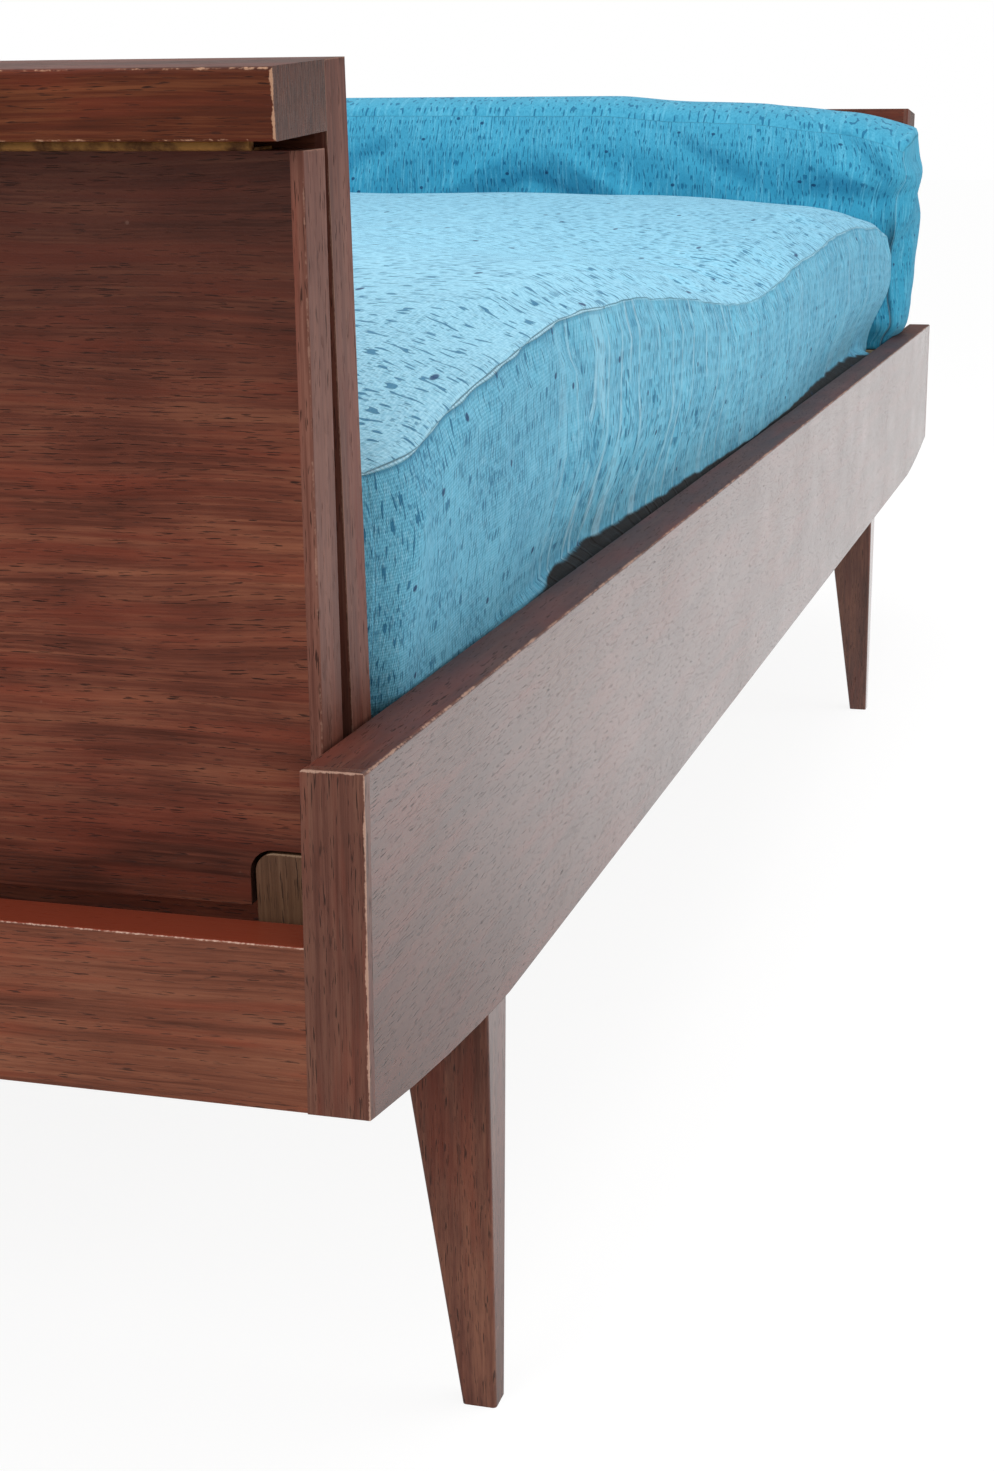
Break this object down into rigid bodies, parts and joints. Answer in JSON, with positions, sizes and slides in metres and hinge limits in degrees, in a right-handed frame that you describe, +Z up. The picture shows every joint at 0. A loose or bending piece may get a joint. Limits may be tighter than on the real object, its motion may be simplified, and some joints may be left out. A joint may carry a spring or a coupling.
{
  "type": "extendable daybed",
  "caption": "Low timber daybed on tapered legs with a slatted base, loose mattress and end cushion, and leaning end panels that fold out onto hinged flaps to lengthen it.",
  "frame": {"origin": "on the floor, under the middle of the bed", "axes": "+X along the length towards the end with the cushion, +Y from the front rail to the back rail, +Z up"},
  "size_m": [2.1536, 0.88, 0.6222],
  "materials": {
    "leg_wood": "satin varnish",
    "inner_wood": "planed",
    "rail_wood": "satin varnish",
    "lipping_wood": "satin varnish",
    "fabric": "slub weave",
    "block_wood": "oiled",
    "steel": "plain",
    "panel_wood": "satin varnish",
    "glide": "matt",
    "brass": "aged",
    "top_rail_wood": "satin varnish",
    "tape": "woven tape"
  },
  "bodies": {
    "root": {"back_far_leg": "leg_wood", "back_ledger": "inner_wood", "back_near_leg": "leg_wood", "back_rail": "rail_wood", "back_rail_far_cap": "lipping_wood", "back_rail_near_cap": "lipping_wood", "far_back_pivot_plate": "steel", "far_cross_bearer": "inner_wood", "far_end_rail": "rail_wood", "far_front_pivot_plate": "steel", "front_far_leg": "leg_wood", "front_ledger": "inner_wood", "front_near_leg": "leg_wood", "front_rail": "rail_wood", "front_rail_far_cap": "lipping_wood", "front_rail_near_cap": "lipping_wood", "leg_screws": "steel", "near_back_pivot_plate": "steel", "near_cross_bearer": "inner_wood", "near_end_rail": "rail_wood", "near_front_pivot_plate": "steel", "slat_1": "inner_wood", "slat_2": "inner_wood", "slat_3": "inner_wood", "slat_4": "inner_wood", "slat_5": "inner_wood", "slat_6": "inner_wood", "slat_7": "inner_wood", "slat_8": "inner_wood", "slat_9": "inner_wood", "slat_screws": "steel", "slat_tapes": "tape"},
    "near_panel": {"near_back_panel_lipping": "lipping_wood", "near_back_pivot_block": "block_wood", "near_front_panel_lipping": "lipping_wood", "near_front_pivot_block": "block_wood", "near_hinge_fixed_leaf": "brass", "near_hinge_pin": "brass", "near_panel_board": "panel_wood", "near_top_rail": "top_rail_wood"},
    "near_flap": {"near_back_flap_lipping": "lipping_wood", "near_flap_board": "panel_wood", "near_flap_glides": "glide", "near_front_flap_lipping": "lipping_wood", "near_hinge_moving_leaf": "brass"},
    "far_panel": {"far_back_panel_lipping": "lipping_wood", "far_back_pivot_block": "block_wood", "far_front_panel_lipping": "lipping_wood", "far_front_pivot_block": "block_wood", "far_hinge_fixed_leaf": "brass", "far_hinge_pin": "brass", "far_panel_board": "panel_wood", "far_top_rail": "top_rail_wood"},
    "far_flap": {"far_back_flap_lipping": "lipping_wood", "far_flap_board": "panel_wood", "far_flap_glides": "glide", "far_front_flap_lipping": "lipping_wood", "far_hinge_moving_leaf": "brass"},
    "mattress": {"mattress": "fabric"},
    "end_cushion": {"end_cushion": "fabric"}
  },
  "joints": [
    {"name": "near_panel_fold", "type": "hinge", "parent": "root", "child": "near_panel", "pos_m": [-1.02634, 0, 0.3], "axis": [0, -1, 0], "range_deg": [0, 87.2]},
    {"name": "near_flap_swing", "type": "hinge", "parent": "near_panel", "child": "near_flap", "pos_m": [-1.04862, 0, 0.57562], "axis": [0, 1, 0], "range_deg": [0, 89]},
    {"name": "far_panel_fold", "type": "hinge", "parent": "root", "child": "far_panel", "pos_m": [1.02634, 0, 0.3], "axis": [0, 1, 0], "range_deg": [0, 87.2]},
    {"name": "far_flap_swing", "type": "hinge", "parent": "far_panel", "child": "far_flap", "pos_m": [1.04862, 0, 0.57562], "axis": [0, -1, 0], "range_deg": [0, 89]},
    {"name": "mattress_lift", "type": "slide", "parent": "root", "child": "mattress", "axis": [0, 0, 1], "range_m": [0, 0.3]},
    {"name": "end_cushion_lift", "type": "slide", "parent": "root", "child": "end_cushion", "axis": [0, 0, 1], "range_m": [0, 0.3]}
  ]
}
